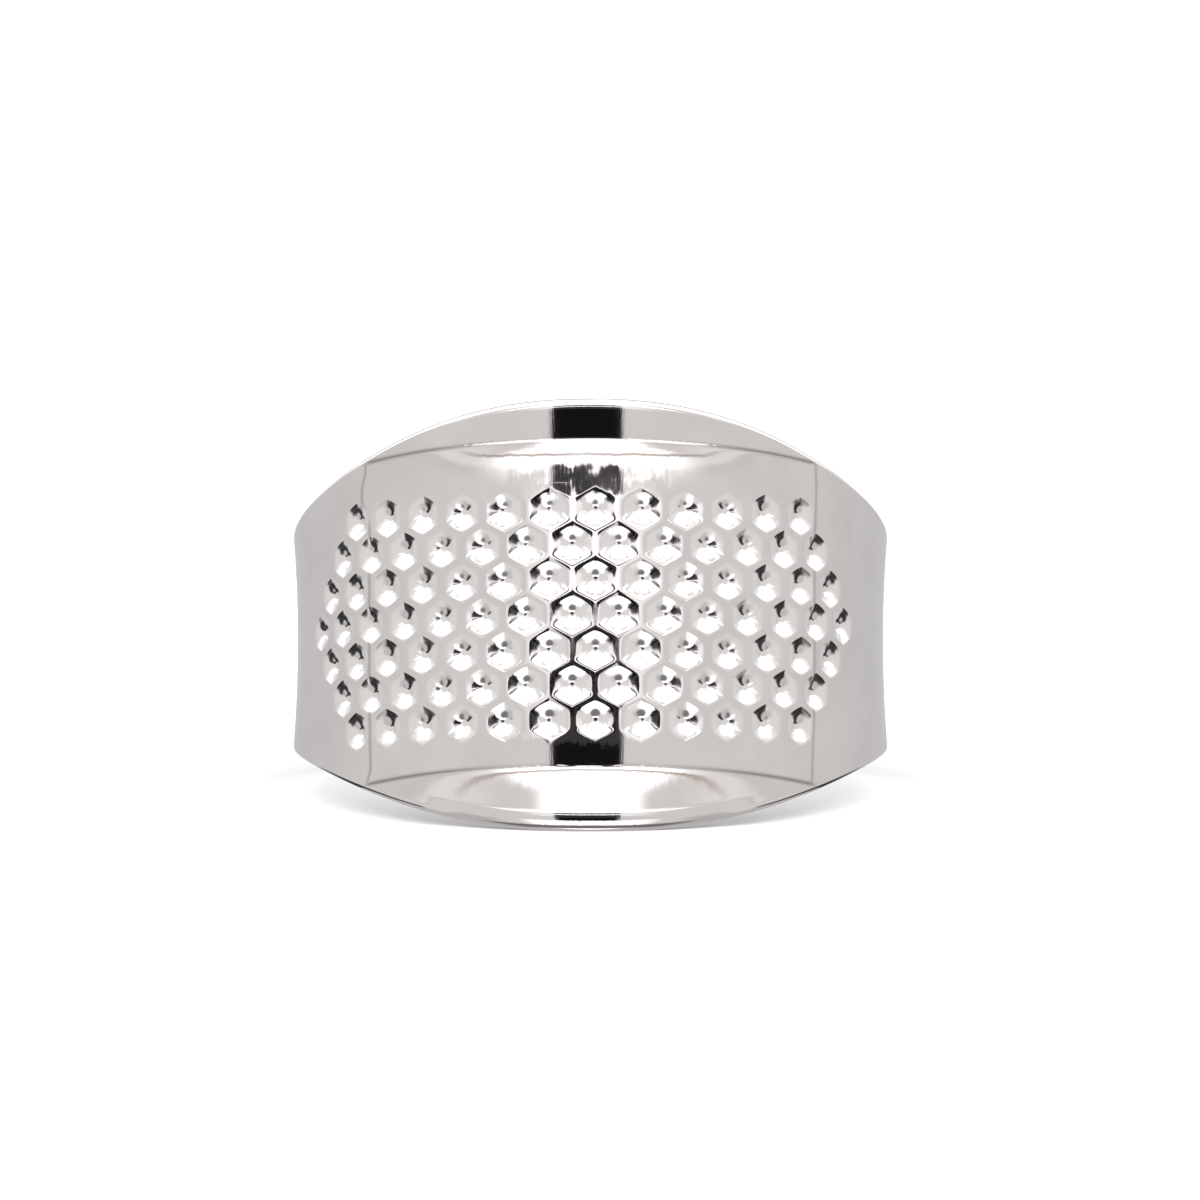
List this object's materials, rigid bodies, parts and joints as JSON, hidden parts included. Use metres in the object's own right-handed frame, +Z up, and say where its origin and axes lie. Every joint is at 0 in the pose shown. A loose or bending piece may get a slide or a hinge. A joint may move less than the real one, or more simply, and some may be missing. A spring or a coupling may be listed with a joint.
{
  "type": "ring thimble",
  "caption": "Open-back metal ring thimble: a dimpled front band with flared crescent lips, and two tapering arms that bend to fit the finger.",
  "frame": {"origin": "middle of the object's box, on the table that the ring stands on", "axes": "+Z up, -Y the way the dimpled front faces, +X to the right for someone looking at the front; the bore runs along [0, 0.218761, 0.975779], so it leans back 12.6 degrees from +Z"},
  "size_m": [0.0192, 0.0202, 0.0135],
  "materials": {
    "nickel_plate": "bright nickel plate on pressed sheet, polished, with fine handling scratches"
  },
  "bodies": {
    "dimpled_front": {"dimpled_front": "nickel_plate"},
    "left_arm_root": {"left_arm_root": "nickel_plate"},
    "left_arm_middle": {"left_arm_middle": "nickel_plate"},
    "left_arm_tip": {"left_arm_tip": "nickel_plate"},
    "right_arm_root": {"right_arm_root": "nickel_plate"},
    "right_arm_middle": {"right_arm_middle": "nickel_plate"},
    "right_arm_tip": {"right_arm_tip": "nickel_plate"}
  },
  "joints": [
    {"name": "left_arm_bend", "type": "hinge", "parent": "dimpled_front", "child": "left_arm_root", "pos_m": [-0.00885, -0.00167, 0.00529], "axis": [0, -0.2188, -0.9758], "range_deg": [-7, 7]},
    {"name": "left_arm_middle_bend", "type": "hinge", "parent": "left_arm_root", "child": "left_arm_middle", "pos_m": [-0.00894, 0.00298, 0.00425], "axis": [0, -0.2188, -0.9758], "range_deg": [-5.25, 5.25]},
    {"name": "left_arm_tip_bend", "type": "hinge", "parent": "left_arm_middle", "child": "left_arm_tip", "pos_m": [-0.00663, 0.00705, 0.00334], "axis": [0, -0.2188, -0.9758], "range_deg": [-2.62, 2.62]},
    {"name": "right_arm_bend", "type": "hinge", "parent": "dimpled_front", "child": "right_arm_root", "pos_m": [0.00885, -0.00167, 0.00529], "axis": [0, 0.2188, 0.9758], "range_deg": [-7, 7]},
    {"name": "right_arm_middle_bend", "type": "hinge", "parent": "right_arm_root", "child": "right_arm_middle", "pos_m": [0.00894, 0.00298, 0.00425], "axis": [0, 0.2188, 0.9758], "range_deg": [-5.25, 5.25]},
    {"name": "right_arm_tip_bend", "type": "hinge", "parent": "right_arm_middle", "child": "right_arm_tip", "pos_m": [0.00663, 0.00705, 0.00334], "axis": [0, 0.2188, 0.9758], "range_deg": [-2.62, 2.62]}
  ],
  "couplings": [
    {"joint": "left_arm_middle_bend", "follows": "left_arm_bend", "ratio": 0.75},
    {"joint": "left_arm_tip_bend", "follows": "left_arm_bend", "ratio": 0.375},
    {"joint": "right_arm_middle_bend", "follows": "right_arm_bend", "ratio": 0.75},
    {"joint": "right_arm_tip_bend", "follows": "right_arm_bend", "ratio": 0.375}
  ]
}
